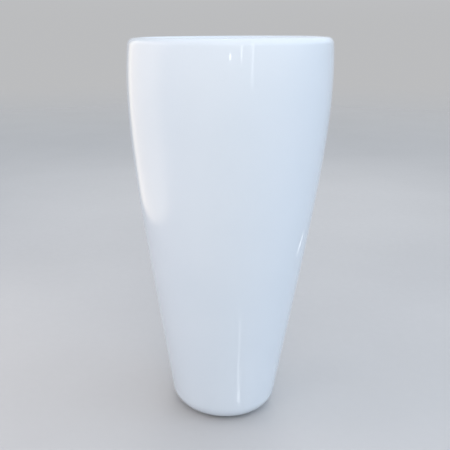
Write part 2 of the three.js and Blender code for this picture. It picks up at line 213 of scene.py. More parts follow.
def finished(name, bm, materials, body="sink", replaces=(), sharp_deg=180):
    """A smooth-shaded object from a bmesh in millimetres, riding on a CAD body."""
    bmesh.ops.recalc_face_normals(bm, faces=bm.faces)
    mesh = bpy.data.meshes.new(name)
    bm.to_mesh(mesh)
    bm.free()
    mesh.transform(Matrix.Scale(MM, 4))
    for polygon in mesh.polygons:
        polygon.use_smooth = True
    for material in materials:
        mesh.materials.append(material)
    piece = bpy.data.objects.new(name, mesh)
    bpy.context.scene.collection.objects.link(piece)
    if sharp_deg < 180:
        mesh.set_sharp_from_angle(angle=math.radians(sharp_deg))
    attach(piece, body)
    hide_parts(*replaces)
    return piece


def join_rows(bm, low, high):
    """Quads between two closed rows of vertices; a row of one vertex is a pole."""
    count = max(len(low), len(high))
    for i in range(count):
        j = (i + 1) % count
        corners = [low[i % len(low)], low[j % len(low)], high[j % len(high)], high[i % len(high)]]
        unique = list(dict.fromkeys(corners))
        if len(unique) > 2:
            bm.faces.new(unique)


def turned(outline, segments=96, shape=None):
    """A bmesh of revolution about Z. It closes on itself unless it starts and ends on the axis.

    shape gives what to add to the radius at an angle, a radius and a height.
    """
    bm = bmesh.new()
    rows = []
    for radius, height in outline:
        if radius == 0:
            rows.append([bm.verts.new((0, 0, height))])
            continue
        row = []
        for i in range(segments):
            angle = 2 * math.pi * i / segments
            r = radius + (shape(angle, radius, height) if shape else 0)
            row.append(bm.verts.new((r * math.cos(angle), r * math.sin(angle), height)))
        rows.append(row)
    for low, high in zip(rows, rows[1:]):
        join_rows(bm, low, high)
    if outline[0][0] > 0:
        join_rows(bm, rows[-1], rows[0])
    return bm


def swept(path, radii, sides):
    """A bmesh tube along a list of points: outer radius, and inner radius if it is hollow."""
    bm = bmesh.new()
    loops = []
    side = None
    for i, point in enumerate(path):
        ahead = path[min(i + 1, len(path) - 1)] - path[max(i - 1, 0)]
        ahead.normalize()
        if side is None:
            side = ahead.orthogonal().normalized()
        side = (side - ahead * side.dot(ahead)).normalized()
        up = ahead.cross(side)
        loops.append([
            [
                bm.verts.new(point + (side * math.cos(a) + up * math.sin(a)) * radius)
                for a in (2 * math.pi * k / sides for k in range(sides))
            ]
            for radius in radii
        ])
    for near, far in zip(loops, loops[1:]):
        for low, high in zip(near, far):
            join_rows(bm, low, high)
    for end in (loops[0], loops[-1]):
        if len(radii) == 2:
            join_rows(bm, end[0], end[1])
        else:
            bm.faces.new(end[0])
    return bm


# ---------- materials ----------


class Nodes:
    """Small helper around a material's node tree."""

    def __init__(self, name):
        self.material = bpy.data.materials.new(name)
        self.material.use_nodes = True
        self.tree = self.material.node_tree
        self.shader = self.tree.nodes["Principled BSDF"]
        coordinates = self.tree.nodes.new("ShaderNodeTexCoord")
        self.place = coordinates.outputs["Object"]

    def set(self, socket, value):
        self.shader.inputs[socket].default_value = value

    def noise(self, scale, detail=3.0, roughness=0.5, stretch=None):
        texture = self.tree.nodes.new("ShaderNodeTexNoise")
        texture.inputs["Scale"].default_value = scale
        texture.inputs["Detail"].default_value = detail
        texture.inputs["Roughness"].default_value = roughness
        source = self.place
        if stretch:
            mapping = self.tree.nodes.new("ShaderNodeMapping")
            mapping.inputs["Scale"].default_value = stretch
            self.tree.links.new(source, mapping.inputs["Vector"])
            source = mapping.outputs["Vector"]
        self.tree.links.new(source, texture.inputs["Vector"])
        return texture.outputs["Fac"]

    def tones(self, value, dark, light):
        """Base colour that goes from dark to light with a noise."""
        ramp = self.tree.nodes.new("ShaderNodeValToRGB")
        for element, position, colour in zip(ramp.color_ramp.elements, NOISE_RANGE, (dark, light)):
            element.position = position
            element.color = (*colour, 1)
        self.tree.links.new(value, ramp.inputs["Fac"])
        self.tree.links.new(ramp.outputs["Color"], self.shader.inputs["Base Color"])

    def roughness(self, value, low, high):
        """Roughness that goes from low to high with a noise."""
        remap = self.tree.nodes.new("ShaderNodeMapRange")
        remap.inputs["From Min"].default_value, remap.inputs["From Max"].default_value = NOISE_RANGE
        remap.inputs["To Min"].default_value = low
        remap.inputs["To Max"].default_value = high
        self.tree.links.new(value, remap.inputs["Value"])
        self.tree.links.new(remap.outputs["Result"], self.shader.inputs["Roughness"])

    def bump(self, *heights):
        """Chained bumps: each one is (height, distance in metres, strength)."""
        normal = None
        for height, distance, strength in heights:
            bump = self.tree.nodes.new("ShaderNodeBump")
            bump.inputs["Distance"].default_value = distance
            bump.inputs["Strength"].default_value = strength
            self.tree.links.new(height, bump.inputs["Height"])
            if normal:
                self.tree.links.new(normal, bump.inputs["Normal"])
            normal = bump.outputs["Normal"]
        self.tree.links.new(normal, self.shader.inputs["Normal"])


def glaze():
    """Thick white glaze: near-mirror surface, faint waves, and a body that varies a little in tone."""
    m = Nodes("white_glaze")
    m.set("IOR", 1.52)
    m.set("Coat Weight", 0.35)
    m.set("Coat Roughness", 0.02)
    m.tones(m.noise(4.0, 2.0, 0.5), (0.685, 0.76, 0.84), (0.72, 0.79, 0.865))
    m.roughness(m.noise(11.0, 3.0, 0.5), 0.055, 0.085)
    waves = m.noise(7.0, 1.0, 0.4, stretch=(1, 1, 0.45))
    peel = m.noise(260.0, 2.0, 0.5)
    m.bump((waves, 0.0012, 0.25), (peel, 0.00004, 0.3))
    return m.material


def bisque():
    """Unglazed china inside the hollow and under the foot: dull, with fine grain and specks."""
    m = Nodes("unglazed_china")
    m.tones(m.noise(30.0, 5.0, 0.6), (0.62, 0.60, 0.56), (0.71, 0.69, 0.65))
    grain = m.noise(900.0, 4.0, 0.7)
    m.roughness(grain, 0.62, 0.85)
    m.bump((grain, 0.0003, 0.5))
    return m.material


def chrome():
    """Polished plate with a faint grain."""
    m = Nodes("chrome_plate")
    m.set("Metallic", 1.0)
    m.tones(m.noise(25.0, 3.0, 0.5), (0.74, 0.75, 0.77), (0.83, 0.84, 0.86))
    m.roughness(m.noise(60.0, 4.0, 0.6), 0.05, 0.14)
    m.bump((m.noise(400.0, 2.0, 0.5), 0.00005, 0.3))
    return m.material


def turned_metal(name, dark, light, roughness):
    """Machined metal with fine turning marks across its axis."""
    m = Nodes(name)
    m.set("Metallic", 1.0)
    m.tones(m.noise(40.0, 3.0, 0.5), dark, light)
    marks = m.noise(500.0, 2.0, 0.5, stretch=(0.15, 0.15, 3.0))
    m.roughness(marks, *roughness)
    m.bump((marks, 0.0001, 0.4))
    return m.material


def moulded(name, dark, light, roughness, grain_scale=350.0):
    """Rubber or plastic with a fine moulded grain."""
    m = Nodes(name)
    m.tones(m.noise(18.0, 4.0, 0.55), dark, light)
    grain = m.noise(grain_scale, 3.0, 0.6)
    m.roughness(grain, *roughness)
    m.bump((grain, 0.00012, 0.5))
    return m.material


def pale_floor():
    """Matt pale floor that turns transparent far out, so that it ends without an edge."""
    m = Nodes("pale_floor")
    m.tones(m.noise(1.5, 3.0, 0.5), (0.50, 0.50, 0.505), (0.53, 0.53, 0.535))
    m.roughness(m.noise(40.0, 4.0, 0.6), 0.55, 0.7)
    nodes = m.tree.nodes
    distance = nodes.new("ShaderNodeVectorMath")
    distance.operation = "LENGTH"
    m.tree.links.new(m.place, distance.inputs[0])
    fade = nodes.new("ShaderNodeMapRange")
    fade.interpolation_type = "SMOOTHSTEP"
    fade.inputs["From Min"].default_value, fade.inputs["From Max"].default_value = FLOOR_FADE
    m.tree.links.new(distance.outputs["Value"], fade.inputs["Value"])
    mix = nodes.new("ShaderNodeMixShader")
    m.tree.links.new(fade.outputs["Result"], mix.inputs["Fac"])
    m.tree.links.new(m.shader.outputs["BSDF"], mix.inputs[1])
    m.tree.links.new(nodes.new("ShaderNodeBsdfTransparent").outputs["BSDF"], mix.inputs[2])
    m.tree.links.new(mix.outputs["Shader"], nodes["Material Output"].inputs["Surface"])
    return m.material


GLAZE = glaze()
BISQUE = bisque()
FINISHES = {
    "chrome": chrome(),
    "brass": turned_metal("machined_brass", (0.52, 0.38, 0.15), (0.66, 0.50, 0.22), (0.2, 0.38)),
    "steel": turned_metal("stainless_steel", (0.50, 0.51, 0.52), (0.62, 0.63, 0.64), (0.18, 0.35)),
    "rubber": moulded("black_rubber", (0.018, 0.018, 0.019), (0.032, 0.032, 0.034), (0.55, 0.75)),
    "nylon": moulded("natural_nylon", (0.70, 0.68, 0.62), (0.78, 0.76, 0.70), (0.38, 0.55), 220.0),
    "plastic": moulded("grey_plastic", (0.20, 0.21, 0.22), (0.26, 0.27, 0.285), (0.35, 0.5), 240.0),
}

# ---------- ceramic body ----------


def skin_outline():
    """Outer outline, from the flat foot ring up to the rim's crest."""
    foot = arc(FOOT_RADIUS, BODY_BOTTOM + FOOT_ROUND, FOOT_ROUND, -90, -FLARE_DEG, 20)
    rim = arc(RIM_CREST_RADIUS, HEIGHT - RIM_ROUND, RIM_ROUND, RIM_LEAN_DEG, 90, 16)
    flare = math.radians(FLARE_DEG)
    lean = math.radians(RIM_LEAN_DEG)
    start = foot[-1]
    end = rim[0]
    wall = bezier(
        start,
        (start[0] + FLARE_REACH * math.sin(flare), start[1] + FLARE_REACH * math.cos(flare)),
        (end[0] + RIM_REACH * math.sin(lean), end[1] - RIM_REACH * math.cos(lean)),
        end,
        110,
    )
    return foot[:-1] + wall + rim[1:]


def bowl_outline():
    """Inner outline of the bowl, from below the rim's crest down to the waste."""
    start = (LIP_RADIUS - LIP_ROUND, HEIGHT - LIP_ROUND)
    return bezier(start, BOWL_SIDE, BOWL_TURN, (SEAT_RADIUS, BOWL_FLOOR), 60)


SKIN = skin_outline()
BOWL = bowl_outline()


def hollow_rows():
    """Inside of the outer wall, row for row behind the skin, and the underside of the bowl."""
    inside = [p for p in offset(SKIN, -WALL) if p[1] < CAVITY_TOP and p[0] >= FOOT_RADIUS]
    under = [p for p in offset(BOWL, -WALL) if p[1] < CAVITY_TOP and p[0] > BOSS_RADIUS + 4]
    outer = inside[-1][0]
    inner = under[0][0]
    top = arc((outer + inner) / 2, CAVITY_TOP, (outer - inner) / 2, 0, 180, 8)
    return inside, top + under


def on_surface(outline, x, z):
    """The point at the back of a surface of revolution that stands at x across and z up."""
    return Vector((x, math.sqrt(radius_at(outline, z) ** 2 - x * x), z))


def edge_loop(rows, low, high, half_columns):
    """Vertices of a grid round its block behind the body, in one direction all the way."""
    middle = BODY_SEGMENTS // 4
    left, right = middle + half_columns, middle - half_columns
    loop = [rows[low][c] for c in range(right, left)]
    loop += [rows[r][left] for r in range(low, high)]
    loop += [rows[high][c] for c in range(left, right, -1)]
    loop += [rows[r][right] for r in range(high, low, -1)]
    return loop


def rings_to_edge(bm, outline, loop, edge, steps):
    """Loops of vertices on a surface, from a grid block's edge loop to an opening's edge points."""
    loops = [loop]
    for k in range(1, steps + 1):
        t = k / steps
        row = []
        for vertex, (x, z) in zip(loop, edge):
            px = vertex.co.x + (x - vertex.co.x) * t
            pz = vertex.co.z + (z - vertex.co.z) * t
            row.append(bm.verts.new(on_surface(outline, px, pz)))
        loops.append(row)
    return loops


def facing_out(loop, spine_low, spine_high):
    """For each vertex of a loop: the nearest spine point of an opening and the direction from it."""
    found = []
    for vertex in loop:
        spine = Vector((0, min(max(vertex.co.z, spine_low), spine_high)))
        direction = (Vector((vertex.co.x, vertex.co.z)) - spine).normalized()
        found.append((spine, direction))
    return found


def rounded_lip(bm, outline, rays, radius, turn, outward):
    """Loops that turn from a wall's surface into an opening, round an arc of radius turn."""
    loops = []
    frames = []
    step = 0.5      # for the surface's slopes
    for spine, direction in rays:
        flat = spine + direction * radius
        nudge = spine + direction * (radius + step)
        base = on_surface(outline, flat.x, flat.y)
        along = (on_surface(outline, nudge.x, nudge.y) - base).normalized()
        across = Vector((-direction.y, direction.x))
        beside = flat + across * step
        sideways = (on_surface(outline, beside.x, beside.y) - base).normalized()
        normal = along.cross(sideways).normalized()
        if normal.y * outward < 0:
            normal = -normal
        frames.append((base + along * turn - normal * turn, along, normal))
    for k in range(1, LIP_STEPS + 1):
        angle = math.radians(90 + 90 * k / LIP_STEPS)
        loops.append([
            bm.verts.new(centre + (along * math.cos(angle) + normal * math.sin(angle)) * turn)
            for centre, along, normal in frames
        ])
    return loops


def nearest_row(points, level):
    """Index of the outline's point that is nearest to a level."""
    return min(range(len(points)), key=lambda i: abs(points[i][1] - level))


def waste_outline(under):
    """Recess of the seat, waste hole and boss, from the bowl round to its underside."""
    ends = (BOWL[-2], under[-2])
    corners = [
        ends[0],
        (SEAT_RADIUS, BOWL_FLOOR),
        (SEAT_RADIUS, SEAT_LEVEL),
        (WASTE_HOLE_RADIUS, SEAT_LEVEL),
        (WASTE_HOLE_RADIUS, BOSS_LEVEL),
        (BOSS_RADIUS, BOSS_LEVEL),
        (BOSS_RADIUS, under[-1][1]),
        ends[1],
    ]
    return [p for p in rounded(corners, 1.6) if p not in ends]


def foot_outline(inside):
    """Rounded edges of the opening in the foot, from the inside out to the ring."""
    corners = [
        inside[1],
        (FOOT_OPENING_RADIUS, BODY_BOTTOM + WALL),
        (FOOT_OPENING_RADIUS, BODY_BOTTOM),
        SKIN[1],
    ]
    return [p for p in rounded(corners, 2.0) if p[0] < FOOT_RADIUS - 1]


def block(low, high, half_columns):
    """Grid cells of a block behind the body, as (row, column)."""
    middle = BODY_SEGMENTS // 4
    return {(r, c) for r in range(low, high) for c in range(middle - half_columns, middle + half_columns)}


def build_ceramic():
    """The body as one closed grid of rows, whose blocks behind the openings are meshed anew round them."""
    inside, under = hollow_rows()
    lip = arc(LIP_RADIUS, HEIGHT - LIP_ROUND, LIP_ROUND, 90, 180, 10)[:-1]
    bowl = BOWL[:-1]
    glazed = SKIN + lip + bowl + waste_outline(under)
    unglazed = under[-2::-1] + inside[::-1]
    bm = bmesh.new()
    rows = []
    for radius, height in glazed + unglazed + foot_outline(inside):
        rows.append([
            bm.verts.new((radius * math.cos(a), radius * math.sin(a), height))
            for a in (2 * math.pi * i / BODY_SEGMENTS for i in range(BODY_SEGMENTS))
        ])

    first_inside = offset(SKIN, -WALL).index(inside[0])
    last_inside = len(glazed) + len(unglazed) - 1

    def inner_row(row):
        """Row on the inside of the wall that lies behind a row of the skin."""
        return last_inside - (row - first_inside)

    skin_low = nearest_row(SKIN, SERVICE_LOW - SERVICE_RADIUS - SERVICE_MARGIN)
    skin_high = nearest_row(SKIN, SERVICE_HIGH + SERVICE_RADIUS + SERVICE_MARGIN)
    columns = round(BODY_SEGMENTS * SERVICE_HALF_TURN / 360)
    bowl_start = len(SKIN) + len(lip)
    reach = OVERFLOW_RADIUS + OVERFLOW_MARGIN
    over_low = bowl_start + nearest_row(bowl, OVERFLOW_LEVEL + reach)
    over_high = bowl_start + nearest_row(bowl, OVERFLOW_LEVEL - reach)
    over_columns = round(BODY_SEGMENTS * OVERFLOW_HALF_TURN / 360)

    skipped = block(skin_low, skin_high, columns) | block(over_low, over_high, over_columns)
    skipped |= block(inner_row(skin_high), inner_row(skin_low), columns)
    for index, row in enumerate(rows):
        above = rows[(index + 1) % len(rows)]
        for column in range(BODY_SEGMENTS):
            if (index, column) in skipped:
                continue
            right = (column + 1) % BODY_SEGMENTS
            face = bm.faces.new([row[column], row[right], above[right], above[column]])
            face.material_index = 1 if index >= len(glazed) else 0

    inner_rows = {r: rows[inner_row(r)] for r in range(skin_low, skin_high + 1)}
    cut_service(bm, edge_loop(rows, skin_low, skin_high, columns),
                edge_loop(inner_rows, skin_low, skin_high, columns), inside)
    cut_overflow(bm, edge_loop(rows, over_low, over_high, over_columns), bowl)
    finished("ceramic_shell", bm, [GLAZE, BISQUE], replaces=["ceramic_body"])
    build_duct()


def cut_service(bm, outer, inner, inside):
    """Service opening behind the trap, through both skins, with a rounded glazed edge."""
    rays = facing_out(outer, SERVICE_LOW, SERVICE_HIGH)
    turn = SERVICE_EDGE_ROUND
    edge = [tuple(spine + direction * (SERVICE_RADIUS + turn)) for spine, direction in rays]
    outside = rings_to_edge(bm, SKIN, outer, edge, SERVICE_RINGS)
    within = rings_to_edge(bm, inside, inner, edge, SERVICE_RINGS)
    lip_out = rounded_lip(bm, SKIN, rays, SERVICE_RADIUS, turn, 1)
    lip_in = rounded_lip(bm, inside, rays, SERVICE_RADIUS, turn, -1)
    loops = outside + lip_out + list(reversed(lip_in)) + list(reversed(within))
    glazed_loops = len(outside) + len(lip_out) + 1
    for k, (near, far) in enumerate(zip(loops, loops[1:])):
        before = len(bm.faces)
        join_rows(bm, near, far)
        bm.faces.ensure_lookup_table()
        if k >= glazed_loops:
            for face in bm.faces[before:]:
                face.material_index = 1


def cut_overflow(bm, loop, bowl):
    """Overflow hole in the back of the bowl, leading into the wall."""
    rays = facing_out(loop, OVERFLOW_LEVEL, OVERFLOW_LEVEL)
    edge = [tuple(spine + direction * OVERFLOW_RADIUS) for spine, direction in rays]
    loops = rings_to_edge(bm, bowl, loop, edge, OVERFLOW_RINGS)
    mouth = loops[-1]
    depth = radius_at(bowl, OVERFLOW_LEVEL) + OVERFLOW_DEPTH
    for k in range(1, 4):
        loops.append([bm.verts.new((v.co.x, v.co.y + (depth - v.co.y) * k / 3, v.co.z)) for v in mouth])
    loops.append([bm.verts.new((0, depth, OVERFLOW_LEVEL))])
    for near, far in zip(loops, loops[1:]):
        join_rows(bm, near, far)


def build_duct():
    """Overflow duct under the bowl: a ceramic rib that follows the bowl's underside."""
    line = [p for p in BOWL if p[1] < CAVITY_TOP + 4 and p[0] > BOSS_RADIUS - 6]
    near, far = (offset(line, -depth) for depth in DUCT_DEPTHS)
    side = DUCT_HALF_WIDTH
    section = rounded([(-side, 0), (side, 0), (side, 1), (-side, 1)], 0.35)
    bm = bmesh.new()
    loops = []
    for (x0, z0), (x1, z1) in zip(near, far):
        loops.append([bm.verts.new((x, x0 + (x1 - x0) * t, z0 + (z1 - z0) * t)) for x, t in section])
    for first, second in zip(loops, loops[1:]):
        join_rows(bm, first, second)
    bm.faces.new(loops[0])
    bm.faces.new(loops[-1])
    finished("overflow_duct", bm, [BISQUE], replaces=["ceramic_body"], sharp_deg=50)


build_ceramic()

# ---------- fittings ----------


def stand_in(node, bm, slot, sharp_deg=180, place=Matrix(), body="sink", look="turned"):
    """The finished piece that stands for one CAD node and is named after it."""
    bm.transform(place)
    return finished(f"{node}_{look}", bm, [FINISHES[slot]], body, [node], sharp_deg)


def fitting(node, outline, slot, place=Matrix(), body="sink", edge=0.4, segments=96):
    """A turned stand-in with the corners of its outline rounded over."""
    return stand_in(node, turned(rounded(outline, edge), segments), slot, place=place, body=body)


def ring(inner, outer, low, high):
    """Outline of a plain ring."""
    return [(inner, low), (outer, low), (outer, high), (inner, high)]


def raised(level):
    """Places a fitting's own zero at a level."""
    return Matrix.Translation((0, 0, level))


def ribbed(inner, outer, low, high):
    """Shape function that lifts a cylinder's surface into upright grip ribs."""

    def shape(angle, radius, height):
        if abs(radius - inner) > 0.05 or not low <= height <= high:
            return 0
        pitch = 2 * math.pi / GRIP_RIBS
        away = abs((angle + pitch / 2) % pitch - pitch / 2) * inner
        t = min(max(RIB_HALF_WIDTH + 0.5 - away, 0), 1)
        ends = min((height - low) / 1.2, (high - height) / 1.2, 1)
        return (outer - inner) * (3 * t * t - 2 * t ** 3) * max(ends, 0)

    return shape


def build_gasket():
    """Rubber ring that the foot stands on; its black also paints the dark line of shade under the foot's
    rounded edge.
    """
    outline = ring(*GASKET_RADII, 0, BODY_BOTTOM - GAP)
    fitting("base_gasket", outline, "rubber", segments=192, edge=0.8)


def build_overflow_ring():
    """Trim in the overflow hole, with its axis along Y and its flange on the bowl."""
    flange = 14.5
    sleeve = OVERFLOW_RADIUS - 0.6
    outline = [
        (sleeve - 1.8, 0),
        (flange - 1.2, 0),
        (flange, 1),
        (flange, 2.2),
        (sleeve, 2.2),
        (sleeve, 9),
        (sleeve - 1.8, 9),
    ]
    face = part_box("overflow_ring")[0].y / MM
    place = Matrix.Translation((0, face, OVERFLOW_LEVEL)) @ Matrix.Rotation(-math.pi / 2, 4, "X")
    fitting("overflow_ring", outline, "chrome", place, edge=0.7)


def build_waste():
    """Everything on the waste's axis above the trap, placed by the level of its seat."""
    stack = raised(SEAT_LEVEL)
    under = BOSS_LEVEL - SEAT_LEVEL
    build_waste_body(stack)
    bore = 21.4
    fitting("waste_top_seal", ring(bore, 32, GAP, 2.0), "rubber", stack)
    fitting("waste_under_gasket", ring(bore, 38, under - 3, under - GAP), "rubber", stack)
    fitting("waste_friction_washer", ring(bore, 37, under - 4.8, under - 3.3), "nylon", stack)
    build_lock_nut(stack, under - 15, under - 5.1)
    post = [
        (0, -43),
        (3.1, -43),
        (3.1, -29.7),
        (9, -29.7),
        (9, LATCH_COLLAR),
        (3, LATCH_COLLAR),
        (3, -9),
        (3.6, -8),
        (3, -6),
        (0, -6),
    ]
    fitting("latch_post", post, "brass", stack, segments=48)
    build_plug(stack)
    build_spring(stack)


def build_waste_body(stack):
    """Waste with its flange in the bowl, and the bridge across its bore that holds the latch."""
    outline = [
        (WASTE_BORE, -WASTE_LENGTH),
        (THREAD_RADIUS, -WASTE_LENGTH),
        *thread(THREAD_RADIUS, -WASTE_LENGTH + 2, -44, 2.0),
        (THREAD_RADIUS, 2.3),
        (33, 2.3),
        (33, 4),
        (30, 5),
        (27, 4.2),
        (20, 3.5),
        (WASTE_BORE, -2),
    ]
    slots = bmesh.new()
    add_block(slots, (-8, -30, -16), (8, 30, -4), 1.5)
    bm = cut_away(turned(rounded(outline, 0.6), 128), slots)
    bridge = ((-18, -3, -38), (18, 3, -32))
    add_block(bm, *bridge, 0.5)
    hub = turned(rounded(ring(3.4, 7.5, -40, -30), 0.5), 48)
    mesh = bpy.data.meshes.new("hub")
    hub.to_mesh(mesh)
    hub.free()
    bm.from_mesh(mesh)
    bpy.data.meshes.remove(mesh)
    stand_in("waste_body", bm, "chrome", 40, stack)


def thread(crest, low, high, pitch):
    """Outline of a run of thread: a crest and a root for every pitch."""
    points = []
    level = low
    while level + pitch < high:
        points += [(crest, level), (crest - THREAD_DEPTH, level + pitch / 2)]
        level += pitch
    return points + [(crest, level)]


def cut_away(bm, cutter):
    """The first closed mesh without what lies inside the second."""
    pieces = []
    for part in (bm, cutter):
        mesh = bpy.data.meshes.new("cut")
        part.to_mesh(mesh)
        part.free()
        pieces.append(bpy.data.objects.new("cut", mesh))
        bpy.context.scene.collection.objects.link(pieces[-1])
    modifier = pieces[0].modifiers.new("cut", "BOOLEAN")
    modifier.operation = "DIFFERENCE"
    modifier.solver = "EXACT"
    modifier.object = pieces[1]
    result = bmesh.new()
    result.from_mesh(pieces[0].evaluated_get(bpy.context.evaluated_depsgraph_get()).to_mesh())
    for piece in pieces:
        bpy.data.meshes.remove(piece.data)
    return result


def add_block(bm, low, high, bevel):
    """A block with bevelled edges."""
    made = bmesh.ops.create_cube(bm, size=1)
    size = [b - a for a, b in zip(low, high)]
    middle = [(a + b) / 2 for a, b in zip(low, high)]
    bmesh.ops.scale(bm, vec=size, verts=made["verts"])
    bmesh.ops.translate(bm, vec=middle, verts=made["verts"])
    edges = list({edge for vertex in made["verts"] for edge in vertex.link_edges})
    bmesh.ops.bevel(bm, geom=edges, offset=bevel, segments=3, profile=0.5, affect="EDGES")


def build_lock_nut(stack, low, high):
    """Hexagonal nut with the corners of both faces turned down."""
    half_flats = 27
    turned_down = 26.6

    def hexagon(angle, radius, height):
        if radius <= turned_down:
            return 0
        flat = half_flats / math.cos((angle + math.pi / 6) % (math.pi / 3) - math.pi / 6)
        drop = min(height - low, high - height)
        return min(flat, turned_down + drop * 2.2) - radius

    ends = (0.05, 0.6, 1.2, 2)
    levels = [low + z for z in ends] + [high - z for z in reversed(ends)]
    outline = ring(NUT_BORE, turned_down, low, high)
    outline[2:2] = [(half_flats, z) for z in levels]
    stand_in("waste_lock_nut", turned(outline, 192, hexagon), "brass", 28, stack)


def build_plug(stack):
    """Domed cap, its seal and its plunger, which ride on the plug's body."""
    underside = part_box("plug_cap")[0].z / MM - SEAT_LEVEL + 3
    crown = arc(0, underside + 3.8 - CROWN_RADIUS, CROWN_RADIUS, 90, 77.2, 14)
    cap = [
        *crown,
        (30, underside + 0.4),
        (29.2, underside),
        (8, underside),
        (8, underside - 3),
        (4.4, underside - 3),
        (4.4, underside - 1.4),
        (0, underside - 1.4),
    ]
    fitting("plug_cap", cap, "chrome", stack, "plug", segments=128)
    top = underside - GAP
    seal = [(18.6, top - 1.9), (25.9, top - 1.9), (26.4, top - 1.5), (26.4, top), (18.6, top)]
    fitting("plug_seal", seal, "rubber", stack, "plug")
    plunger = [
        (0, 13.3),
        (4, 13.3),
        (4, 1),
        (9, 1),
        (9, PLUNGER_SHOULDER),
        (6.5, PLUNGER_SHOULDER),
        (6.5, -15),
        (3.9, -15),
        (3.9, 5),
        (0, 5),
    ]
    fitting("plug_plunger", plunger, "brass", stack, "plug", segments=48)


def build_spring(stack):
    """Compression spring from the latch's collar up to the plunger's shoulder, built at one length."""
    low = LATCH_COLLAR + GAP + SPRING_WIRE
    high = PLUNGER_SHOULDER - GAP - SPRING_WIRE
    steps = SPRING_TURNS * 40
    path = []
    for i in range(steps + 1):
        t = i / steps
        angle = t * SPRING_TURNS * 2 * math.pi
        rise = (3 * t * t - 2 * t ** 3) * 0.35 + t * 0.65
        height = low + (high - low) * rise
        path.append(Vector((SPRING_RADIUS * math.cos(angle), SPRING_RADIUS * math.sin(angle), height)))
    spring = stand_in("plug_spring", swept(path, [SPRING_WIRE], 12), "steel", 60, stack, look="coil")
    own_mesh(spring)


def slip_nut(node, place):
    """Slip nut with an inner lip at its far end and ribs to grip."""
    outline = [
        (NUT_BORE, 0),
        (25.6, 0),
        (26, 0.4),
        *[(26, z) for z in (1, 2.2, 8.5, 14.8, 16)],
        (26, 18),
        (24, 21),
        (16.8, 21),
        (16.8, 17.6),
        (NUT_BORE, 17.6),
    ]
    stand_in(node, turned(outline, 256, ribbed(26, 27.6, 1, 16)), "chrome", 35, place)


def build_trap():
    """Bottle trap with its nuts and seals, between the waste and the drain pipe."""
    coupling = raised(SEAT_LEVEL)
    top = -WASTE_LENGTH
    fitting("coupling_seal", ring(14.8, 20.5, top - 2.8, top - GAP), "rubber", coupling)
    collar = top - 3.1
    bottom = TRAP_LEVEL - TUBE_REACH - SEAT_LEVEL
    tube = [
        (TUBE_BORE, bottom),
        (PIPE_RADIUS, bottom),
        (PIPE_RADIUS, collar - 1.5),
        (20.6, collar - 1.5),
        (20.6, collar),
        (TUBE_BORE, collar),
    ]
    fitting("trap_inlet_tube", tube, "chrome", coupling, edge=0.5)
    slip_nut("coupling_nut", raised(SEAT_LEVEL + top + 12.7) @ Matrix.Rotation(math.pi, 4, "X"))

    trap = raised(TRAP_LEVEL)
    build_trap_body(trap)
    build_trap_cup(trap)
    fitting("trap_cup_seal", ring(29.6, 32.2, -26.6, -24.3), "rubber", trap)
    cone_seal("inlet_cone_seal", 56.3, trap)
    slip_nut("inlet_slip_nut", trap @ raised(42.4))
    outlet = trap @ raised(OUTLET_RISE) @ Matrix.Rotation(math.pi / 2, 4, "Y")
    cone_seal("outlet_cone_seal", 58.3, outlet)
    slip_nut("outlet_slip_nut", outlet @ raised(44.4))
    build_drain_pipe()


def cone_seal(node, level, place):
    """Ring with a sloped face that a slip nut presses on."""
    outline = [(16.3, level), (20.6, level), (20.6, level + 1.2), (16.3, level + 3.2)]
    fitting(node, outline, "rubber", place)


def build_trap_body(trap):
    """Upper half of the bottle trap, with a collar where the outlet leaves its side."""
    inner = TRAP_RADIUS - 3
    bottle = [
        (NECK_BORE, 56),
        (NECK_RADIUS, 56),
        (NECK_RADIUS, 38),
        (27, 36),
        (TRAP_RADIUS, 30),
        (TRAP_RADIUS, -24),
        (inner, -24),
        (inner, 28),
        (NECK_BORE, 32),
    ]
    bm = turned(rounded(bottle, 3, 6), 128)
    add_outlet(bm)
    stand_in("trap_body", bm, "chrome", 50, trap)


def add_outlet(bm):
    """Outlet stub along +X that spreads into the bottle's side with a small fillet."""
    sides = 96
    turns = [2 * math.pi * i / sides for i in range(sides)]
    rows = []
    for wider, proud in [(3.2, -0.6), (2.0, 0.25), (1.0, 0.9), (0.35, 1.8), (0, 3.0)]:
        row = []
        for angle in turns:
            y = (NECK_RADIUS + wider) * math.cos(angle)
            z = (NECK_RADIUS + wider) * math.sin(angle)
            row.append(bm.verts.new((math.sqrt(TRAP_RADIUS ** 2 - y * y) + proud, y, z + OUTLET_RISE)))
        rows.append(row)
    bevel = 0.6
    stub = [
        (NECK_RADIUS, OUTLET_END - bevel),
        (NECK_RADIUS - bevel, OUTLET_END),
        (NECK_BORE + bevel, OUTLET_END),
        (NECK_BORE, OUTLET_END - bevel),
        (NECK_BORE, 24),
    ]
    for radius, x in stub:
        circle = [(radius * math.cos(a), radius * math.sin(a) + OUTLET_RISE) for a in turns]
        rows.append([bm.verts.new((x, y, z)) for y, z in circle])
    for low, high in zip(rows, rows[1:] + rows[:1]):
        join_rows(bm, low, high)


def build_trap_cup(trap):
    """Cup that unscrews for cleaning, with ribs round its collar."""
    cup = [
        (0, -84),
        (22, -84),
        (30, -81),
        (33.5, -73),
        (33.5, -38),
        (36.5, -35),
        *[(36.5, z) for z in (-33.5, -32, -25, -18, -16.6)],
        (36.5, -15),
        (32.6, -15),
        (32.6, -27),
        (30.3, -28),
        (30.3, -72),
        (26, -79),
        (0, -80),
    ]
    stand_in("trap_cup", turned(rounded(cup, 2, 5), 256, ribbed(36.5, 38, -34, -16.2)), "chrome", 35, trap)


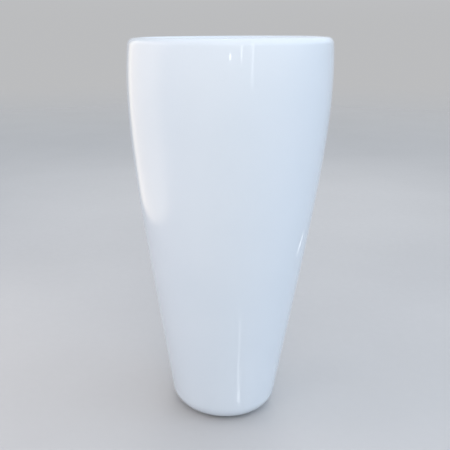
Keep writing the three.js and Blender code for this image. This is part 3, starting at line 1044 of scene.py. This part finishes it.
def build_drain_pipe():
    """Drain pipe: out of the trap, down beside it and back under it to the floor."""
    level = TRAP_LEVEL + OUTLET_RISE
    route = [(PIPE_ENDS[0], level), (DROP_OFFSET - DROP_BEND, level)]
    route += bezier(
        route[-1],
        (DROP_OFFSET - DROP_BEND / 3, level),
        (DROP_OFFSET, level - DROP_BEND / 3),
        (DROP_OFFSET, level - DROP_BEND),
        20,
    )[1:]
    route += bezier(*zip((DROP_OFFSET, DROP_OFFSET, 0, 0), DROP_CURVE), 60)
    route += [(0, PIPE_ENDS[1])]
    path = [Vector((x, 0, z)) for x, z in route]
    stand_in("drain_pipe", swept(path, [PIPE_BORE, PIPE_RADIUS], 96), "chrome", 50, look="bent")


def build_floor_socket():
    """Flanged socket round the pipe's end, with its lip seal."""
    socket = [
        (14.5, 0),
        (34, 0),
        (34, 3),
        (32, 4),
        (24, 5),
        (23, 7),
        (23, 49),
        (20.4, 49),
        (20.4, 42),
        (16.7, 40),
        (16.7, 12),
        (14.5, 12),
    ]
    fitting("floor_socket", socket, "plastic", edge=0.6)
    fitting("socket_seal", [(16.3, 42.6), (20.1, 42.6), (20.1, 47), (16.3, 46)], "rubber")


def fixing_matrix(azimuth_deg):
    """Turns +Z into a side fixing's direction: outward and slightly down."""
    surface = radius_at(SKIN, FIXING_LEVEL)
    azimuth = math.radians(azimuth_deg)
    place = Matrix.Translation((surface * math.cos(azimuth), surface * math.sin(azimuth), FIXING_LEVEL))
    return place @ Matrix.Rotation(azimuth, 4, "Z") @ Matrix.Rotation(math.radians(90 + FLARE_DEG), 4, "Y")


def build_side_fixing(side, azimuth_deg):
    """Screw with its bush and cap, and the nylon of the bracket that comes from CAD."""
    place = fixing_matrix(azimuth_deg)
    bush = [(3.4, -WALL - 1), (5.6, -WALL - 1), (5.6, 0.8), (9, 0.8), (9, 2.4), (3.4, 2.4)]
    fitting("screw_bush_" + side, bush, "nylon", place, segments=64)
    head = [(3, 2.7), (6.2, 2.7), (5.6, 5), (3, 6.3), (0, 6.6)]
    screw = [(0, -74), (3, -72), *thread(3, -71, -14, 1.6), *head]
    fitting("side_screw_" + side, screw, "steel", place, segments=48, edge=0.3)
    cap = [
        (0, 9.2),
        (6, 8.8),
        (9.6, 6.8),
        (11.6, 3),
        (12, 0.9),
        (10.4, 0.9),
        (9.6, 3),
        (7.6, 6.2),
        (5, 7.7),
        (0, 8),
    ]
    fitting("screw_cap_" + side, cap, "chrome", place, edge=2.2)
    bracket = bpy.data.objects["floor_bracket_" + side]
    bracket.data.materials.clear()
    bracket.data.materials.append(FINISHES["nylon"])


build_gasket()
build_overflow_ring()
build_waste()
build_trap()
build_floor_socket()
for side_name, side_azimuth in FIXING_AZIMUTHS_DEG.items():
    build_side_fixing(side_name, side_azimuth)

# ---------- stage, light and camera ----------


def build_stage():
    """Round floor, far wider than the picture."""
    bm = bmesh.new()
    bmesh.ops.create_circle(bm, cap_ends=True, segments=128, radius=FLOOR_RADIUS)
    mesh = bpy.data.meshes.new("floor")
    bm.to_mesh(mesh)
    bm.free()
    mesh.materials.append(pale_floor())
    floor = bpy.data.objects.new("floor", mesh)
    bpy.context.scene.collection.objects.link(floor)


# sky colours: all round near the floor, and overhead on the left and on the right
HORIZON_COLOUR = (0.50, 0.505, 0.515)
SKY_LEFT = (0.50, 0.52, 0.55)
SKY_RIGHT = (1.09, 1.18, 1.30)
SKY_RISE = 0.4      # height of the view direction at which the horizon colour has gone

# soft panels: place, what it faces, width, height, radiance in its middle, and colour
PANELS = {
    "front": ((0.1, -2.8, 2.0), (0, 0, 0.5), 1.6, 0.9, 8.8, (1, 0.91, 0.83)),
    "left": ((-2.2, -0.3, 1.2), (0, 0, 0.45), 1.6, 1.6, 3.4, (1, 0.86, 0.88)),
    "left_front": ((-1.6, -2.0, 1.6), (0, 0, 0.5), 1.6, 1.2, 5.6, (1, 0.9, 0.82)),
    "right": ((2.0, -0.4, 1.0), (0, 0, 0.45), 1.6, 1.6, 2.4, (0.51, 0.73, 1)),
    "upper": ((0.1, -1.4, 1.7), (0, 0, 0.78), 1.1, 0.6, 6.5, (1, 0.93, 0.85)),
    "rear": ((0.2, 2.6, 1.9), (0, 0, 0.45), 2.4, 1.2, 5.5, (1, 0.96, 0.92)),
}
PANEL_SOFTNESS = (0.45, 0.45, 0.45)

# the window that the glaze mirrors along its left side
WINDOW = ((-0.9, 0.3, 0.835), (0, 0.3, 0.835), 1.7, 1.53, 1.0, (1, 0.86, 0.68))
WINDOW_SOFTNESS = (0.25, 0.04, 0.25)

# thin strips that show only as glints in the glaze: both ends, width in metres, and radiance
GLINTS = {
    "spot": ((0.06, -2.81, 1.02), (0.08, -2.81, 1.13), 0.09, 7.0),
    "short_upright": ((0.607, -2.75, 0.98), (0.607, -2.75, 1.51), 0.06, 4.5),
    "tall_upright": ((1.11, -2.58, 0.51), (1.24, -2.51, 3.1), 0.08, 2.2),
    "low_front": ((0.085, -0.196, 0.004), (0.182, -0.424, 0.004), 0.014, 1.3),
    "low_front_end": ((0.068, -0.156, 0.004), (0.083, -0.19, 0.004), 0.014, 2.4),
    "low_dash": ((0.542, -0.913, 0.004), (0.58, -1.01, 0.004), 0.035, 1.6),
    "low_speck": ((0.125, -0.596, 0.004), (0.129, -0.626, 0.004), 0.02, 2.0),
    "low_behind": ((0.803, 0.399, 0.004), (0.911, 0.651, 0.004), 0.05, 1.4),
}


def area_light(name, width, height, radiance):
    """A rectangular light that the camera doesn't see."""
    data = bpy.data.lights.new(name, "AREA")
    data.shape = "RECTANGLE"
    data.size = width
    data.size_y = height
    data.energy = radiance * math.pi * width * height
    light = bpy.data.objects.new(name, data)
    bpy.context.scene.collection.objects.link(light)
    light.visible_camera = False
    return light


def panel(name, place, target, width, height, radiance, colour, softness=PANEL_SOFTNESS):
    """An area light whose brightness falls off towards its sides, its bottom and its top."""
    light = area_light(name, width, height, radiance)
    light.data.color = colour
    light.location = place
    light.rotation_euler = (Vector(target) - Vector(place)).to_track_quat("-Z", "Y").to_euler()
    soften_edges(light.data, *softness)
    return light


def soften_edges(data, side, bottom, top):
    """Multiplies a smooth rise from each edge of the panel into its brightness."""
    data.use_nodes = True
    tree = data.node_tree
    place = tree.nodes.new("ShaderNodeNewGeometry").outputs["Parametric"]
    parts = tree.nodes.new("ShaderNodeSeparateXYZ")
    tree.links.new(place, parts.inputs[0])
    strength = None
    for axis, edge, full in (("X", 0, side), ("X", 1, 1 - side), ("Y", 0, bottom), ("Y", 1, 1 - top)):
        rise = tree.nodes.new("ShaderNodeMapRange")
        rise.interpolation_type = "SMOOTHSTEP"
        rise.inputs["From Min"].default_value = edge
        rise.inputs["From Max"].default_value = full
        tree.links.new(parts.outputs[axis], rise.inputs["Value"])
        if strength:
            product = tree.nodes.new("ShaderNodeMath")
            product.operation = "MULTIPLY"
            tree.links.new(strength, product.inputs[0])
            tree.links.new(rise.outputs["Result"], product.inputs[1])
            strength = product.outputs[0]
        else:
            strength = rise.outputs["Result"]
    tree.links.new(strength, tree.nodes["Emission"].inputs["Strength"])


def glint(name, start, end, width, radiance):
    """A strip light that lights nothing: only mirror-like surfaces show it."""
    start, end = Vector(start), Vector(end)
    light = area_light(name, width, (end - start).length, radiance)
    middle = (start + end) / 2
    along = (end - start).normalized()
    back = middle - Vector((0, 0, 0.5))
    back = (back - along * back.dot(along)).normalized()
    across = along.cross(back)
    light.matrix_world = Matrix((across, along, back)).transposed().to_4x4()
    light.location = middle
    light.visible_diffuse = False


def smooth_mix(tree, value, low, high, first, second):
    """Colour that turns from first to second as value goes from low to high."""
    rise = tree.nodes.new("ShaderNodeMapRange")
    rise.interpolation_type = "SMOOTHSTEP"
    rise.inputs["From Min"].default_value = low
    rise.inputs["From Max"].default_value = high
    tree.links.new(value, rise.inputs["Value"])
    mix = tree.nodes.new("ShaderNodeMix")
    mix.data_type = "RGBA"
    tree.links.new(rise.outputs["Result"], mix.inputs["Factor"])
    for socket, colour in ((mix.inputs[6], first), (mix.inputs[7], second)):
        if isinstance(colour, tuple):
            socket.default_value = (*colour, 1)
        else:
            tree.links.new(colour, socket)
    return mix.outputs[2]


def build_sky():
    """Plain horizon under a sky that is brighter and bluer on the right."""
    world = bpy.data.worlds.new("studio")
    world.use_nodes = True
    tree = world.node_tree
    direction = tree.nodes.new("ShaderNodeTexCoord").outputs["Generated"]
    parts = tree.nodes.new("ShaderNodeSeparateXYZ")
    tree.links.new(direction, parts.inputs[0])
    overhead = smooth_mix(tree, parts.outputs["X"], -1, 1, SKY_LEFT, SKY_RIGHT)
    sky = smooth_mix(tree, parts.outputs["Z"], 0, SKY_RISE, HORIZON_COLOUR, overhead)
    tree.links.new(sky, tree.nodes["Background"].inputs["Color"])
    bpy.context.scene.world = world


def build_light():
    """Panels light the pieces and aren't mirrored; the window and the glints are only mirrored."""
    build_sky()
    for name, settings in PANELS.items():
        panel(name, *settings).visible_glossy = False
    panel("window", *WINDOW, WINDOW_SOFTNESS).visible_diffuse = False
    for name, settings in GLINTS.items():
        glint(name, *settings)


# the photograph's camera: metres before the object's axis and above the floor, its turns in degrees, and
# its optics; the photograph is cropped at one side, so its middle isn't the middle of the lens
CAMERA_DISTANCE = 1.3911
CAMERA_HEIGHT = 0.8654
YAW, PITCH, ROLL = 4.89, 16.99, -0.395
SENSOR_WIDTH = 36
LENS = 51.24
SHIFT = 0.1144


def build_camera():
    """The photograph's camera, turned about the upright, then downwards, then about its own axis."""
    data = bpy.data.cameras.new("camera")
    data.sensor_width = SENSOR_WIDTH
    data.lens = LENS
    data.shift_x = SHIFT
    camera = bpy.data.objects.new("camera", data)
    camera.matrix_world = (
        Matrix.Translation((0, -CAMERA_DISTANCE, CAMERA_HEIGHT))
        @ Matrix.Rotation(math.radians(YAW), 4, "Z")
        @ Matrix.Rotation(math.radians(90 - PITCH), 4, "X")
        @ Matrix.Rotation(math.radians(ROLL), 4, "Z")
    )
    bpy.context.scene.collection.objects.link(camera)
    bpy.context.scene.camera = camera


build_stage()
build_light()
build_camera()
bpy.context.scene.view_settings.view_transform = "Standard"
